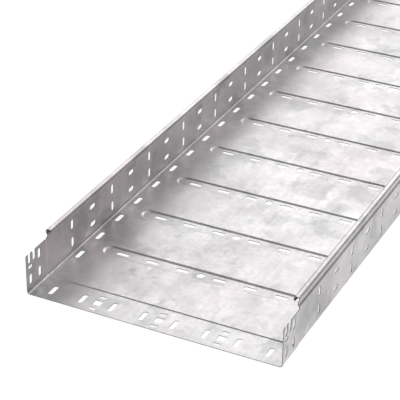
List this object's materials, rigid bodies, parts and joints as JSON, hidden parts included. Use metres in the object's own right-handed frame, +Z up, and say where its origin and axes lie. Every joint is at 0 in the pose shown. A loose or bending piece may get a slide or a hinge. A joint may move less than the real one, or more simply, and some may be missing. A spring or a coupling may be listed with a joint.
{
  "type": "perforated cable tray",
  "caption": "Long U-shaped perforated sheet-steel tray with curled rims, pressed cross ribs and a joggled joining end, for carrying cables.",
  "frame": {"origin": "middle of the length and width, on the level the cross ribs stand on", "axes": "+X along the tray, from the joining end to the plain end; +Y across to one side; +Z up, out of the open top"},
  "size_m": [3.05, 0.3016, 0.0613],
  "materials": {
    "galvanised_sheet": "strip-galvanised, pale grey with a soft cloudy spangle, satin"
  },
  "bodies": {
    "root": {"tray": "galvanised_sheet"}
  },
  "joints": []
}
